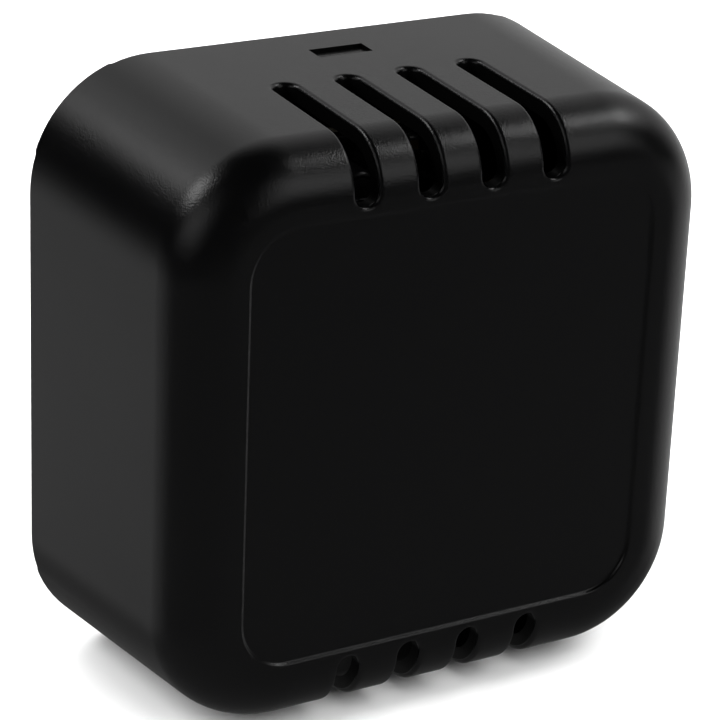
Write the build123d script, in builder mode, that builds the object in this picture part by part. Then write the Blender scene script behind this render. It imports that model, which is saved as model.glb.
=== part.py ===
"""Indoor climate sensor for a wall: a vented cover that snaps over a base with a circuit board.

Millimetres. X runs across the housing, Z is up and the front faces -Y. The origin is the
centre of the base's back face, which lies against the wall. Depths are counted from the wall
towards the front, and heights on the board from its component side.
"""
import os
from math import cos, radians, sqrt

from build123d import *

os.makedirs("parts", exist_ok=True)

# ---------------------------------------------------------------- housing sizes
housing_width = 72.0
housing_height = 72.0
housing_depth = 34.3
corner_radius = 14.8
front_edge_radius = 6.5
draft_taper = 0.057  # share by which the front is smaller than the rear
wall = 2.0
rim_radius = 0.4

recess_size = 52.0
recess_corner_radius = 6.0
recess_depth = 0.4

vent_count = 4
vent_pitch = 8.0
vent_width = 2.9
vent_rear_depth = 14.3
vent_drop = 9.0  # from the housing's rear outline down to the slot's end on the front
vent_lip_radius = 0.55

window_width = 7.0
window_length = 2.65
window_depth = 5.5

rib_pitch = 28.0
rib_width = 1.5
rib_height = 2.0
rib_end_depth = 20.0
rib_root = 0.3

# ---------------------------------------------------------------- base and latch sizes
base_gap = 0.4
base_thickness = 2.4
screw_slot_spacing = 50.0
screw_slot_width = 4.2
screw_slot_length = 8.0
screw_seat_radius = 5.5
cable_opening_width = 18.0
cable_opening_height = 10.0
cable_opening_z = -21.5
cable_opening_radius = 2.0
collar_wall = 1.2
collar_height = 1.6
spine_width = 1.2
spine_height = 1.5
knockout_radius = 3.5
knockout_ring = 0.5
knockout_groove = 0.6
knockout_offset = 20.0

hook_side_gap = 0.25
latch_thickness = 1.4
latch_tip = 1.2
latch_wall_gap = 0.8
latch_root_height = 1.2
latch_relief = 0.6
latch_side_gap = 0.5
hook_rear_gap = 0.2
hook_front_gap = 0.55
hook_sink = 0.38
hook_lead_in = 0.5

# ---------------------------------------------------------------- board sizes
board_edge_gap_x = 5.0
board_edge_gap_z = 7.0
board_thickness = 1.6
board_corner_radius = 8.0
board_standoff = 6.0
board_hole_inset_x = 5.0
board_hole_inset_z = 6.0
board_hole_gap = 0.25
screw_access_height = 10.0
notch_gap = 0.5

boss_wall = 1.75
screw_radius = 1.25
screw_clearance = 0.06
screw_length = 6.0
screw_head_radius = 2.4
screw_head_height = 1.6
screw_recess_width = 0.6
screw_recess_length = 3.2
screw_recess_depth = 0.7

screw_end_gap = 0.4

# ---------------------------------------------------------------- terminal block sizes
terminal_ways = 4
terminal_pitch = 3.5
terminal_end_wall = 0.5
terminal_length = 9.5
terminal_rise = 9.0
terminal_chamfer = 0.6
terminal_gap = 1.0
channel_floor = 2.0
channel_size = 2.9
channel_length = 8.0
button_width = 2.2
button_length = 3.6
button_gap = 0.15
button_inset = 5.5
button_proud = 0.9
button_foot = 5.9
button_edge_radius = 0.3
button_groove = 0.5
pin_size = 0.8
pin_gap = 0.1
pin_inset = 3.0
pin_tail = 1.0
clamp_side_gap = 0.35
clamp_thickness = 0.35
clamp_bend = 0.5
clamp_mouth = 0.8
clamp_slack = 0.5

# ---------------------------------------------------------------- board layout, as (x, z) centres
sensor_at = (-15.5, -11.0)
controller_at = (2.0, 3.0)
crystal_at = (9.6, 3.0)
dip_switch_at = (-9.0, 12.0)
setup_button_at = (-13.0, 1.5)
trimmer_at = (13.5, -3.0)
regulator_at = (13.0, 10.5)
inductor_at = (4.5, 19.5)
input_capacitor_at = (-13.5, 22.2)
output_capacitor_at = (-4.0, 22.0)
rectifier_at = (13.0, 21.5)
varistor_at = (21.0, 12.0)
fuse_at = (-21.0, 12.0)
led_at = (22.0, -12.5)
header_at = (16.5, -15.5)
resistors_at = [(-4.0, 6.0), (-4.0, 3.0), (-4.0, 0.0), (8.6, -4.0), (8.6, -1.5), (18.0, -6.0), (-7.5, -3.0)]
capacitors_at = [(2.0, -3.0), (2.0, 9.5), (7.6, 8.6), (6.0, 14.2), (18.5, 18.5), (8.0, 24.4), (-18.0, 6.8)]

# ---------------------------------------------------------------- board component sizes
solder_gap = 0.1
lead_length = board_thickness + 1.2
lead_radius = 0.3
lead_hole_gap = 0.15
header_pitch = 2.54
header_pin = 0.64
header_hole_gap = 0.05
header_pin_fit = 0.03

sensor_board_width = 10.6
sensor_board_length = 12.5
sensor_board_thickness = 0.8
sensor_board_corner = 0.6
sensor_pin_count = 4
sensor_pin_inset = 1.4
sensor_spacer_height = 8.0
sensor_slot_width = 1.0
sensor_chip_size = 3.0
sensor_chip_height = 1.1
sensor_chip_inset = 3.2
sensor_port_radius = 0.6
sensor_port_depth = 0.4

controller_size = 7.0
controller_height = 1.4
controller_leads = 8
controller_pitch = 0.8
controller_lead_width = 0.35
pin_mark_radius = 0.4
pin_mark_depth = 0.1

crystal_width = 3.2
crystal_length = 2.5
crystal_height = 0.8

dip_ways = 4
dip_pitch = 2.54
dip_end_wall = 0.75
dip_length = 6.4
dip_height = 3.2
lever_side_gap = 0.1
lever_end_gap = 0.15
dip_slot_depth = 1.6
lever_width = 1.2
lever_length = 1.5
lever_foot_gap = 0.1
lever_proud = 0.2
lever_travel = 1.6

setup_button_size = 6.0
setup_button_height = 3.5
plunger_radius = 1.7
plunger_gap = 0.12
plunger_depth = 1.5
plunger_proud = 1.4

trimmer_size = 6.6
trimmer_height = 3.4
rotor_radius = 2.4
rotor_gap = 0.1
rotor_depth = 1.2
rotor_proud = 0.3
rotor_groove_width = 0.7
rotor_groove_depth = 0.6

regulator_width = 6.6
regulator_length = 6.1
regulator_height = 2.3
tab_width = 5.3
tab_length = 1.3
tab_thickness = 0.5

inductor_size = 6.0
inductor_height = 3.0
inductor_corner = 1.2
inductor_core_radius = 2.4
inductor_core_groove = 0.3
inductor_core_depth = 0.2

input_capacitor_radius = 4.0
input_capacitor_height = 11.5
output_capacitor_radius = 3.15
output_capacitor_height = 9.0
capacitor_groove_height = 1.6
capacitor_groove_radius = 0.35
capacitor_top_radius = 0.5
capacitor_vent_width = 0.3
capacitor_vent_depth = 0.15
capacitor_lead_pitch = 2.5

rectifier_width = 4.7
rectifier_length = 4.0
rectifier_height = 2.5

disc_radius = 3.5
varistor_thickness = 3.6
fuse_thickness = 2.8
disc_standoff = 1.5
disc_edge_radius = 1.2
disc_lead_pitch = 5.0

led_radius = 1.5
led_height = 4.0
led_rim_radius = 1.9
led_rim_height = 1.0
led_lead_pitch = 2.54

header_count = 5
header_block_width = 2.5
header_block_height = 2.5
header_pin_height = 8.5

chip_length = 2.0
chip_width = 1.25
resistor_height = 0.5
capacitor_chip_height = 0.9

# ---------------------------------------------------------------- what follows from them
same_place = 0.001
front_scale = 1 - draft_taper
inner_half_width = housing_width / 2 - wall
inner_half_height = housing_height / 2 - wall
base_width = 2 * inner_half_width - 2 * base_gap
base_height = 2 * inner_half_height - 2 * base_gap
base_corner_radius = corner_radius - wall - base_gap
board_width = 2 * (inner_half_width - board_edge_gap_x)
board_height = 2 * (inner_half_height - board_edge_gap_z)
board_back = base_thickness + board_standoff
board_front = board_back + board_thickness
board_hole_x = board_width / 2 - board_hole_inset_x
board_hole_z = board_height / 2 - board_hole_inset_z
board_holes = [(x, z) for x in (-board_hole_x, board_hole_x) for z in (-board_hole_z, board_hole_z)]
notch_width = cable_opening_width + 2 * notch_gap
notch_top = cable_opening_z + cable_opening_height / 2 + notch_gap
vent_xs = [(i - (vent_count - 1) / 2) * vent_pitch for i in range(vent_count)]
inner_edge_radius = front_edge_radius - wall
vent_reach = wall + inner_edge_radius * (1 - cos(radians(45))) + 0.2
vent_end_middle = housing_height / 2 - vent_drop + vent_width / 2
window_middle = window_depth + window_length / 2
latch_width = window_width - 2 * hook_side_gap
screw_access_end = screw_slot_spacing / 2 - screw_seat_radius
boss_radius = screw_radius + boss_wall
board_hole_radius = screw_radius + board_hole_gap
pin_hole = pin_size + 2 * pin_gap
clamp_width = channel_size - 2 * clamp_side_gap
lead_hole_radius = lead_radius + lead_hole_gap
header_hole = header_pin * sqrt(0.5) + header_hole_gap
dip_slot_width = lever_width + 2 * lever_side_gap
dip_slot_length = lever_length + lever_travel + 2 * lever_end_gap


def at_depth(depth):
    """A sketch plane facing the front, with local x along X and local y along Z."""
    return Plane.XZ.offset(depth)


def on_board(height=0.0):
    """A sketch plane facing the front, at a height above the board's component side."""
    return at_depth(board_front + height)


def taper_at(depth):
    """Share of the rear size that the outside has at a depth."""
    return 1 - draft_taper * depth / housing_depth


def save(part, name):
    """Label a finished piece and write its file."""
    part.label = name
    export_step(part, f"parts/{name}.step")


latch_foot_z = inner_half_height * taper_at(window_middle) - latch_wall_gap - latch_thickness
hook_rear = window_depth + hook_rear_gap
hook_front = window_depth + window_length - hook_front_gap
hook_top = housing_height / 2 * taper_at(window_middle) - hook_sink
terminal_xs = [(i - (terminal_ways - 1) / 2) * terminal_pitch for i in range(terminal_ways)]
terminal_width = terminal_ways * terminal_pitch + 2 * terminal_end_wall
terminal_bottom = notch_top + terminal_gap
button_z = terminal_bottom + button_inset
pin_z = terminal_bottom + pin_inset
clamp_back = -(board_front + channel_floor + clamp_thickness)
clamp_front = -(board_front + channel_floor + channel_size - clamp_slack)
clamp_line = [
    (clamp_back, terminal_bottom + clamp_mouth),
    (clamp_back, terminal_bottom + channel_length - clamp_slack),
    (clamp_front, terminal_bottom + channel_length - clamp_slack),
    ((clamp_back + clamp_front) / 2, terminal_bottom + pin_inset),
]

sensor_pin_z = sensor_at[1] + sensor_board_length / 2 - sensor_pin_inset
sensor_pins_at = [
    (sensor_at[0] + (i - (sensor_pin_count - 1) / 2) * header_pitch, sensor_pin_z)
    for i in range(sensor_pin_count)
]
header_pins_at = [
    (header_at[0], header_at[1] + (i - (header_count - 1) / 2) * header_pitch) for i in range(header_count)
]
lever_xs = [dip_switch_at[0] + (i - (dip_ways - 1) / 2) * dip_pitch for i in range(dip_ways)]
lever_z = dip_switch_at[1] - lever_travel / 2


def lead_places(centre, pitch, upright):
    """Where the two leads of a through-hole piece pass the board."""
    step = (0, pitch / 2) if upright else (pitch / 2, 0)
    return [(centre[0] + turn * step[0], centre[1] + turn * step[1]) for turn in (-1, 1)]


input_capacitor_leads = lead_places(input_capacitor_at, capacitor_lead_pitch, False)
output_capacitor_leads = lead_places(output_capacitor_at, capacitor_lead_pitch, False)
varistor_leads = lead_places(varistor_at, disc_lead_pitch, True)
fuse_leads = lead_places(fuse_at, disc_lead_pitch, True)
led_leads = lead_places(led_at, led_lead_pitch, True)
drilled_leads = input_capacitor_leads + output_capacitor_leads + varistor_leads + fuse_leads + led_leads


# ---------------------------------------------------------------- front cover
# One moulding: a drafted box with a soft front edge, vent slots that wrap over the top and
# bottom edges, a shallow square recess for a label and a latch window in the top and bottom.
def drafted_box(inset, depth, edge_radius):
    """The housing's form, taken in by an inset and ended at a depth, with its front edge rounded."""
    with BuildPart() as box:
        for end in (0, depth):
            with BuildSketch(at_depth(end)):
                RectangleRounded(
                    housing_width * taper_at(end) - 2 * inset,
                    housing_height * taper_at(end) - 2 * inset,
                    corner_radius * taper_at(end) - inset,
                )
        loft(ruled=True)
        fillet(box.faces().sort_by(Axis.Y)[0].edges(), edge_radius)
    return box.part


outside = drafted_box(0, housing_depth, front_edge_radius)
cavity = drafted_box(wall, housing_depth - wall, inner_edge_radius)

with BuildPart() as front_cover:
    add(outside)
    add(cavity, mode=Mode.SUBTRACT)

    for side in (-1, 1):
        roof = side * (housing_height / 2 * front_scale - vent_reach)
        with BuildSketch(Plane.XY.offset(roof)):
            for x in vent_xs:
                with Locations((x, -(vent_rear_depth + vent_width / 2))):
                    Circle(vent_width / 2)
                    Rectangle(vent_width, housing_depth, align=(Align.CENTER, Align.MAX))
        extrude(amount=side * 2 * vent_reach, mode=Mode.SUBTRACT)
        with BuildSketch(at_depth(housing_depth - vent_reach)):
            for x in vent_xs:
                with Locations((x, side * vent_end_middle)):
                    Circle(vent_width / 2)
                with Locations((x, side * (vent_end_middle + vent_drop / 2))):
                    Rectangle(vent_width, vent_drop)
        extrude(amount=2 * vent_reach, mode=Mode.SUBTRACT)

    skin = outside.shells()[0]
    across_vents = front_cover.edges().filter_by(lambda edge: abs(edge.center().X) < vent_xs[-1] + vent_width)
    lips = across_vents.filter_by(Axis.X, reverse=True).filter_by(
        lambda edge: skin.distance_to(edge.position_at(0.5)) < same_place
    )
    fillet(lips, vent_lip_radius)

    with BuildSketch(at_depth(housing_depth - recess_depth)):
        RectangleRounded(recess_size, recess_size, recess_corner_radius)
    extrude(amount=wall, mode=Mode.SUBTRACT)

    with BuildSketch(Plane.XY):
        with Locations((0, -window_middle)):
            Rectangle(window_width, window_length)
    extrude(amount=housing_height, both=True, mode=Mode.SUBTRACT)

    rib_depth_across = rib_height + rib_root
    with BuildSketch(at_depth(base_thickness)):
        for side in (-1, 1):
            for z in (-rib_pitch / 2, rib_pitch / 2):
                with Locations((side * (inner_half_width + rib_root - rib_depth_across / 2), z)):
                    Rectangle(rib_depth_across, rib_width)
    extrude(amount=rib_end_depth - base_thickness)

    fillet(front_cover.faces().sort_by(Axis.Y)[-1].outer_wire().edges(), rim_radius)
save(front_cover.part, "front_cover")


# ---------------------------------------------------------------- rear base
# A moulded plate that sits inside the cover's rear opening, with slotted holes for two wall
# screws, a collared cable opening, a boss at each corner of the board and two round knockouts.
with BuildPart() as rear_base:
    with BuildSketch(at_depth(0)):
        RectangleRounded(base_width, base_height, base_corner_radius)
    extrude(amount=base_thickness)
    with BuildSketch(at_depth(base_thickness)):
        for x in (-board_hole_x, board_hole_x):
            with Locations((x, 0)):
                Rectangle(spine_width, 2 * board_hole_z)
        for z in (-board_hole_z, board_hole_z):
            with Locations((0, z)):
                Rectangle(2 * board_hole_x, spine_width)
    extrude(amount=spine_height)
    with BuildSketch(at_depth(base_thickness)):
        with Locations((-screw_slot_spacing / 2, 0), (screw_slot_spacing / 2, 0)):
            Circle(screw_seat_radius)
    extrude(amount=spine_height, mode=Mode.SUBTRACT)
    with BuildSketch(at_depth(base_thickness)):
        with Locations((0, cable_opening_z)):
            RectangleRounded(
                cable_opening_width + 2 * collar_wall,
                cable_opening_height + 2 * collar_wall,
                cable_opening_radius + collar_wall,
            )
    extrude(amount=collar_height)
    with BuildSketch(at_depth(base_thickness)):
        with Locations(*board_holes):
            Circle(boss_radius)
    extrude(amount=board_standoff)
    with BuildSketch(at_depth(board_back)):
        with Locations(*board_holes):
            Circle(screw_radius + screw_clearance)
    extrude(amount=-screw_length, mode=Mode.SUBTRACT)
    with BuildSketch(at_depth(0)):
        with Locations((-screw_slot_spacing / 2, 0), (screw_slot_spacing / 2, 0)):
            SlotOverall(screw_slot_length, screw_slot_width)
        with Locations((0, cable_opening_z)):
            RectangleRounded(cable_opening_width, cable_opening_height, cable_opening_radius)
    extrude(amount=board_back, mode=Mode.SUBTRACT)
    with BuildSketch(at_depth(0)):
        with Locations((-knockout_offset, knockout_offset), (knockout_offset, knockout_offset)):
            Circle(knockout_radius)
            Circle(knockout_radius - knockout_ring, mode=Mode.SUBTRACT)
    extrude(amount=knockout_groove, mode=Mode.SUBTRACT)
    with BuildSketch(at_depth(0)):
        with Locations((0, latch_foot_z), (0, -latch_foot_z)):
            Rectangle(latch_width + 2 * latch_side_gap, base_height - 2 * latch_foot_z)
    extrude(amount=base_thickness, mode=Mode.SUBTRACT)
    with BuildSketch(at_depth(latch_root_height)):
        with Locations((0, latch_foot_z), (0, -latch_foot_z)):
            Rectangle(latch_width + 2 * latch_side_gap, 2 * latch_relief)
    extrude(amount=base_thickness, mode=Mode.SUBTRACT)
save(rear_base.part, "rear_base")


# ---------------------------------------------------------------- latches
# A springy arm rises from a notch in the base's top and bottom edge. Its hook fills the
# cover's window, and pressing it in with a screwdriver lets the cover come off.
with BuildPart() as top_latch:
    with BuildSketch(Plane.YZ.offset(-latch_width / 2)):
        with BuildLine():
            Polyline(
                (0, latch_foot_z),
                (0, latch_foot_z + latch_thickness),
                (-hook_rear, latch_foot_z + latch_thickness),
                (-hook_rear, hook_top),
                (-(hook_front - hook_lead_in), hook_top),
                (-hook_front, hook_top - hook_lead_in),
                (-hook_front, latch_foot_z + latch_thickness),
                (-(hook_front + latch_tip), latch_foot_z + latch_thickness),
                (-(hook_front + latch_tip), latch_foot_z),
                close=True,
            )
        make_face()
    extrude(amount=latch_width)
save(top_latch.part, "top_latch")

with BuildPart() as bottom_latch:
    mirror(top_latch.part, about=Plane.XY)
save(bottom_latch.part, "bottom_latch")


# ---------------------------------------------------------------- circuit board
# Glass-fibre board with its corners rounded to suit the cover, an access notch for each wall
# screw, a notch that the cable comes up through and four screw holes.
with BuildPart() as circuit_board:
    with BuildSketch(at_depth(board_back)):
        RectangleRounded(board_width, board_height, board_corner_radius)
        for side in (-1, 1):
            with Locations((side * (screw_access_end + board_width / 2), 0)):
                Rectangle(board_width, screw_access_height, mode=Mode.SUBTRACT)
        with Locations((0, notch_top)):
            Rectangle(notch_width, board_height, align=(Align.CENTER, Align.MAX), mode=Mode.SUBTRACT)
        with Locations(*board_holes):
            Circle(board_hole_radius, mode=Mode.SUBTRACT)
        with Locations(*[(x, pin_z) for x in terminal_xs]):
            Rectangle(pin_hole, pin_hole, mode=Mode.SUBTRACT)
        with Locations(*sensor_pins_at, *header_pins_at):
            Circle(header_hole, mode=Mode.SUBTRACT)
        with Locations(*drilled_leads):
            Circle(lead_hole_radius, mode=Mode.SUBTRACT)
    extrude(amount=board_thickness)
save(circuit_board.part, "circuit_board")

with BuildPart() as board_screws:
    with BuildSketch(at_depth(board_front)):
        with Locations(*board_holes):
            Circle(screw_head_radius)
    extrude(amount=screw_head_height)
    fillet(board_screws.faces().sort_by(Axis.Y)[:4].edges(), screw_head_height / 2)
    with BuildSketch(at_depth(board_front)):
        with Locations(*board_holes):
            Circle(screw_radius)
    extrude(amount=-(screw_length + board_thickness - screw_end_gap))
    with BuildSketch(at_depth(board_front + screw_head_height)):
        with Locations(*board_holes):
            Rectangle(screw_recess_length, screw_recess_width)
            Rectangle(screw_recess_width, screw_recess_length)
    extrude(amount=-screw_recess_depth, mode=Mode.SUBTRACT)
save(board_screws.part, "board_screws")


# ---------------------------------------------------------------- terminal block
# Four push-in wire terminals: a moulded housing with a wire channel from below and a button
# well in front of each, and a bent spring clamp in each channel, soldered through the board.
with BuildPart() as terminal_block:
    with BuildSketch(on_board()):
        with Locations((0, terminal_bottom + terminal_length / 2)):
            Rectangle(terminal_width, terminal_length)
    extrude(amount=terminal_rise)
    chamfer(terminal_block.faces().sort_by(Axis.Y)[0].edges().filter_by(Axis.X), terminal_chamfer)
    with BuildSketch(Plane.XY.offset(terminal_bottom)):
        with Locations(*[(x, -(board_front + channel_floor + channel_size / 2)) for x in terminal_xs]):
            Rectangle(channel_size, channel_size)
    extrude(amount=channel_length, mode=Mode.SUBTRACT)
    with BuildSketch(on_board(channel_floor + channel_size)):
        with Locations(*[(x, button_z) for x in terminal_xs]):
            Rectangle(button_width + 2 * button_gap, button_length + 2 * button_gap)
    extrude(amount=terminal_rise, mode=Mode.SUBTRACT)
    with BuildSketch(on_board()):
        with Locations(*[(x, pin_z) for x in terminal_xs]):
            Rectangle(pin_hole, pin_hole)
    extrude(amount=channel_floor, mode=Mode.SUBTRACT)
save(terminal_block.part, "terminal_block")

with BuildPart() as terminal_clamps:
    for x in terminal_xs:
        with BuildSketch(Plane.YZ.offset(x - clamp_width / 2)):
            with BuildLine():
                FilletPolyline(*clamp_line, radius=clamp_bend)
            trace(line_width=clamp_thickness)
        extrude(amount=clamp_width)
        with BuildSketch(on_board(channel_floor + clamp_thickness)):
            with Locations((x, pin_z)):
                Rectangle(pin_size, pin_size)
        extrude(amount=-(channel_floor + clamp_thickness + board_thickness + pin_tail))
save(terminal_clamps.part, "terminal_clamps")

for number, x in enumerate(terminal_xs, start=1):
    with BuildPart() as button:
        with BuildSketch(on_board(button_foot)):
            with Locations((x, button_z)):
                Rectangle(button_width, button_length)
        extrude(amount=terminal_rise + button_proud - button_foot)
        fillet(button.faces().sort_by(Axis.Y)[0].edges(), button_edge_radius)
        with BuildSketch(on_board(terminal_rise + button_proud)):
            with Locations((x, button_z)):
                Rectangle(button_width, button_groove)
        extrude(amount=-button_groove, mode=Mode.SUBTRACT)
    save(button.part, f"terminal_button_{number}")


# ---------------------------------------------------------------- shared forms of board pieces
def block(centre, width, length, height, lift=0.0, edge=0.0):
    """A moulded body on the board, with its front edges bevelled."""
    with BuildPart() as body:
        with BuildSketch(on_board(lift)):
            with Locations(centre):
                Rectangle(width, length)
        extrude(amount=height)
        if edge:
            chamfer(body.faces().sort_by(Axis.Y)[0].edges(), edge)
    return body.part


def square_pins(places, low, high):
    """Straight square pins with tapered ends, from one height on the board to another."""
    with BuildPart() as pins:
        with BuildSketch(on_board(low)):
            with Locations(*places):
                Rectangle(header_pin, header_pin)
        extrude(amount=high - low)
        ends = pins.faces().filter_by(Axis.Y)
        chamfer(ends.edges(), header_pin / 5)
    return pins.part


def gull_leads(centre, directions, reach, count, pitch, width, height, foot, thickness=0.15):
    """Bent leads that leave a body at a height, step down to the board and end in a flat foot."""
    front = Vector(0, -1, 0)
    shoulder = 2 * thickness
    with BuildPart() as leads:
        for direction in directions:
            outward = Vector(direction[0], 0, direction[1])
            side = Plane(
                origin=(centre[0], -board_front, centre[1]), x_dir=outward, z_dir=outward.cross(front)
            )
            for i in range(count):
                with BuildSketch(side.offset((i - (count - 1) / 2) * pitch - width / 2)):
                    with BuildLine():
                        FilletPolyline(
                            (reach, height),
                            (reach + shoulder, height),
                            (reach + shoulder, thickness / 2),
                            (reach + shoulder + foot, thickness / 2),
                            radius=thickness,
                        )
                    trace(line_width=thickness)
                extrude(amount=width)
    return leads.part


left_and_right = [(-1, 0), (1, 0)]
down_and_up = [(0, -1), (0, 1)]


# ---------------------------------------------------------------- climate sensor
# The sensing chip stands well clear of the warm board, on its own small board with a milled
# slot around it, carried by a spacer with four pins.
with BuildPart() as sensor_header:
    with BuildSketch(on_board()):
        with Locations((sensor_at[0], sensor_pin_z)):
            Rectangle(sensor_pin_count * header_pitch, header_block_width)
        with Locations(*sensor_pins_at):
            Rectangle(header_pin + 2 * header_pin_fit, header_pin + 2 * header_pin_fit, mode=Mode.SUBTRACT)
    extrude(amount=sensor_spacer_height)
save(sensor_header.part, "sensor_header")

sensor_board_front = sensor_spacer_height + sensor_board_thickness
sensor_pins = square_pins(sensor_pins_at, -lead_length, sensor_board_front + 1)
save(sensor_pins, "sensor_pins")

sensor_chip_z = sensor_at[1] - sensor_board_length / 2 + sensor_chip_inset
slot_x = sensor_chip_size / 2 + 1.5 * sensor_slot_width
with BuildPart() as sensor_board:
    with BuildSketch(on_board(sensor_spacer_height)):
        with Locations(sensor_at):
            RectangleRounded(sensor_board_width, sensor_board_length, sensor_board_corner)
        with Locations(*sensor_pins_at):
            Circle(header_hole, mode=Mode.SUBTRACT)
        with Locations(*[(sensor_at[0] + turn * slot_x, sensor_chip_z) for turn in (-1, 1)]):
            SlotOverall(sensor_chip_size, sensor_slot_width, rotation=90, mode=Mode.SUBTRACT)
    extrude(amount=sensor_board_thickness)
save(sensor_board.part, "sensor_board")

with BuildPart() as sensor_chip:
    with BuildSketch(on_board(sensor_board_front)):
        with Locations((sensor_at[0], sensor_chip_z)):
            Rectangle(sensor_chip_size, sensor_chip_size)
    extrude(amount=sensor_chip_height)
    with BuildSketch(on_board(sensor_board_front + sensor_chip_height)):
        with Locations((sensor_at[0], sensor_chip_z)):
            Circle(sensor_port_radius)
    extrude(amount=-sensor_port_depth, mode=Mode.SUBTRACT)
save(sensor_chip.part, "sensor_chip")


# ---------------------------------------------------------------- controller and crystal
with BuildPart() as controller:
    add(block(controller_at, controller_size, controller_size, controller_height, solder_gap, 0.15))
    mark = (controller_at[0] - controller_size / 3, controller_at[1] + controller_size / 3)
    with BuildSketch(on_board(solder_gap + controller_height)):
        with Locations(mark):
            Circle(pin_mark_radius)
    extrude(amount=-pin_mark_depth, mode=Mode.SUBTRACT)
save(controller.part, "controller")

controller_lead_parts = gull_leads(
    controller_at,
    left_and_right + down_and_up,
    controller_size / 2,
    controller_leads,
    controller_pitch,
    controller_lead_width,
    solder_gap + controller_height / 2,
    0.6,
)
save(controller_lead_parts, "controller_leads")

save(block(crystal_at, crystal_width, crystal_length, crystal_height, 0, 0.15), "crystal")


# ---------------------------------------------------------------- range switch
# Four small slide levers in one body; each moves up or down in its own slot.
with BuildPart() as dip_switch:
    dip_width = dip_ways * dip_pitch + 2 * dip_end_wall
    add(block(dip_switch_at, dip_width, dip_length, dip_height, solder_gap, 0.2))
    with BuildSketch(on_board(solder_gap + dip_height)):
        with Locations(*[(x, dip_switch_at[1]) for x in lever_xs]):
            Rectangle(dip_slot_width, dip_slot_length)
    extrude(amount=-dip_slot_depth, mode=Mode.SUBTRACT)
save(dip_switch.part, "dip_switch")

dip_lead_parts = gull_leads(
    dip_switch_at, down_and_up, dip_length / 2, dip_ways, dip_pitch, 0.6, solder_gap + dip_height / 2, 0.9, 0.2
)
save(dip_lead_parts, "dip_switch_leads")

lever_height = dip_slot_depth - lever_foot_gap + lever_proud
lever_lift = solder_gap + dip_height - dip_slot_depth + lever_foot_gap
for number, x in enumerate(lever_xs, start=1):
    lever = block((x, lever_z), lever_width, lever_length, lever_height, lever_lift, 0.15)
    save(lever, f"dip_lever_{number}")


# ---------------------------------------------------------------- setup button
with BuildPart() as setup_button:
    add(block(setup_button_at, setup_button_size, setup_button_size, setup_button_height, solder_gap, 0.3))
    with BuildSketch(on_board(solder_gap + setup_button_height)):
        with Locations(setup_button_at):
            Circle(plunger_radius + plunger_gap)
    extrude(amount=-(plunger_depth + 0.5), mode=Mode.SUBTRACT)
save(setup_button.part, "setup_button_case")

with BuildPart() as plunger:
    with BuildSketch(on_board(solder_gap + setup_button_height - plunger_depth)):
        with Locations(setup_button_at):
            Circle(plunger_radius)
    extrude(amount=plunger_depth + plunger_proud)
    fillet(plunger.faces().sort_by(Axis.Y)[0].edges(), 0.25)
save(plunger.part, "setup_button_plunger")

setup_lead_parts = gull_leads(
    setup_button_at, left_and_right, setup_button_size / 2, 2, 4.5, 0.7, solder_gap + 0.6, 0.9, 0.2
)
save(setup_lead_parts, "setup_button_leads")


# ---------------------------------------------------------------- offset trimmer
with BuildPart() as trimmer:
    add(block(trimmer_at, trimmer_size, trimmer_size, trimmer_height, 0, 0.3))
    with BuildSketch(on_board(trimmer_height)):
        with Locations(trimmer_at):
            Circle(rotor_radius + rotor_gap)
    extrude(amount=-(rotor_depth + rotor_gap), mode=Mode.SUBTRACT)
save(trimmer.part, "trimmer_case")

with BuildPart() as rotor:
    with BuildSketch(on_board(trimmer_height - rotor_depth)):
        with Locations(trimmer_at):
            Circle(rotor_radius)
    extrude(amount=rotor_depth + rotor_proud)
    fillet(rotor.faces().sort_by(Axis.Y)[0].edges(), 0.2)
    with BuildSketch(on_board(trimmer_height + rotor_proud)):
        with Locations(trimmer_at):
            Rectangle(2 * rotor_radius - 1, rotor_groove_width)
            Rectangle(rotor_groove_width, 2 * rotor_radius - 1)
    extrude(amount=-rotor_groove_depth, mode=Mode.SUBTRACT)
save(rotor.part, "trimmer_rotor")


# ---------------------------------------------------------------- power supply
with BuildPart() as regulator_tab:
    with BuildSketch(on_board()):
        with Locations((regulator_at[0], regulator_at[1] + regulator_length / 2)):
            Rectangle(tab_width, tab_length, align=(Align.CENTER, Align.MIN))
    extrude(amount=tab_thickness)
    chamfer(regulator_tab.faces().sort_by(Axis.Z)[-1].edges().filter_by(Axis.Y), tab_length / 3)
save(regulator_tab.part, "regulator_tab")
regulator = block(regulator_at, regulator_width, regulator_length, regulator_height, 0, 0.35)
save(regulator, "voltage_regulator")
regulator_lead_parts = gull_leads(
    regulator_at, [(0, -1)], regulator_length / 2, 2, 4.57, 0.76, regulator_height / 2, 1.4, 0.4
)
save(regulator_lead_parts, "regulator_leads")

with BuildPart() as inductor:
    with BuildSketch(on_board()):
        with Locations(inductor_at):
            Rectangle(inductor_size, inductor_size)
    extrude(amount=inductor_height)
    chamfer(inductor.edges().filter_by(Axis.Y), inductor_corner)
    with BuildSketch(on_board(inductor_height)):
        with Locations(inductor_at):
            Circle(inductor_core_radius)
            Circle(inductor_core_radius - inductor_core_groove, mode=Mode.SUBTRACT)
    extrude(amount=-inductor_core_depth, mode=Mode.SUBTRACT)
save(inductor.part, "power_inductor")


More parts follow.
